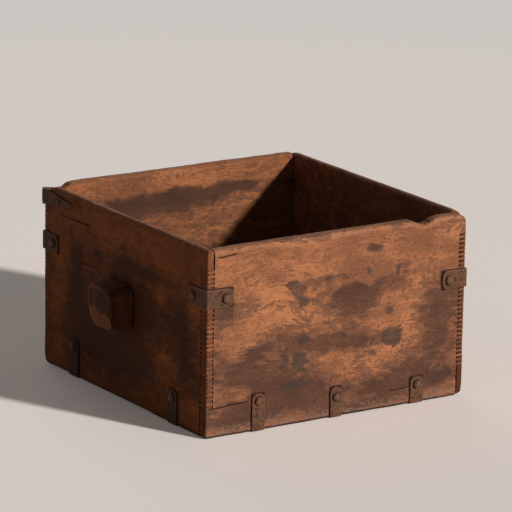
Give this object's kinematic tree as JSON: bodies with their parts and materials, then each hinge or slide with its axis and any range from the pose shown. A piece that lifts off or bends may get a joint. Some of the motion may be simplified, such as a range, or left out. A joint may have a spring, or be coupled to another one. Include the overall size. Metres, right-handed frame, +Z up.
{
  "type": "grain measure",
  "caption": "Square open-topped wooden grain measure with comb-jointed corners, iron straps and a block handle on each side.",
  "frame": {"origin": "on the ground, below the middle of the box", "axes": "+X to the right along the front wall and towards one handle, +Y from the front wall to the back wall, +Z up out of the open top"},
  "size_m": [0.3766, 0.3408, 0.2],
  "materials": {
    "dark_wood": "old softwood, dark with smoke, oil and handling, worn paler at the rim",
    "handle_wood": "old wood block, chipped and rubbed at its edges",
    "floor_wood": "plain sawn planks, dusty brown",
    "strap_iron": "hand-forged iron strip with dark brown rust",
    "rivet_iron": "forged nail heads, rubbed bare on top"
  },
  "bodies": {
    "root": {"front_board": "dark_wood", "right_board": "dark_wood", "back_board": "dark_wood", "left_board": "dark_wood", "bottom_board_front": "floor_wood", "bottom_board_back": "floor_wood", "left_handle": "handle_wood", "right_handle": "handle_wood", "left_handle_nail_1": "rivet_iron", "left_handle_nail_2": "rivet_iron", "right_handle_nail_1": "rivet_iron", "right_handle_nail_2": "rivet_iron", "front_left_strap": "strap_iron", "front_right_strap": "strap_iron", "back_right_strap": "strap_iron", "back_left_strap": "strap_iron", "front_left_rivet_front": "rivet_iron", "front_left_rivet_left": "rivet_iron", "front_right_rivet_right": "rivet_iron", "front_right_rivet_front": "rivet_iron", "back_right_rivet_back": "rivet_iron", "back_right_rivet_right": "rivet_iron", "back_left_rivet_left": "rivet_iron", "back_left_rivet_back": "rivet_iron", "front_bottom_strap_1": "strap_iron", "front_bottom_strap_2": "strap_iron", "front_bottom_strap_3": "strap_iron", "right_bottom_strap_1": "strap_iron", "right_bottom_strap_2": "strap_iron", "back_bottom_strap_1": "strap_iron", "back_bottom_strap_2": "strap_iron", "back_bottom_strap_3": "strap_iron", "left_bottom_strap_1": "strap_iron", "left_bottom_strap_2": "strap_iron", "front_bottom_nail_1": "rivet_iron", "front_bottom_nail_2": "rivet_iron", "front_bottom_nail_3": "rivet_iron", "right_bottom_nail_1": "rivet_iron", "right_bottom_nail_2": "rivet_iron", "back_bottom_nail_1": "rivet_iron", "back_bottom_nail_2": "rivet_iron", "back_bottom_nail_3": "rivet_iron", "left_bottom_nail_1": "rivet_iron", "left_bottom_nail_2": "rivet_iron", "front_foot_nail_1": "rivet_iron", "front_foot_nail_2": "rivet_iron", "front_foot_nail_3": "rivet_iron", "right_foot_nail_1": "rivet_iron", "right_foot_nail_2": "rivet_iron", "back_foot_nail_1": "rivet_iron", "back_foot_nail_2": "rivet_iron", "back_foot_nail_3": "rivet_iron", "left_foot_nail_1": "rivet_iron", "left_foot_nail_2": "rivet_iron", "corner_patch": "strap_iron", "corner_patch_tack_left": "rivet_iron", "corner_patch_tack_back": "rivet_iron"}
  },
  "joints": []
}
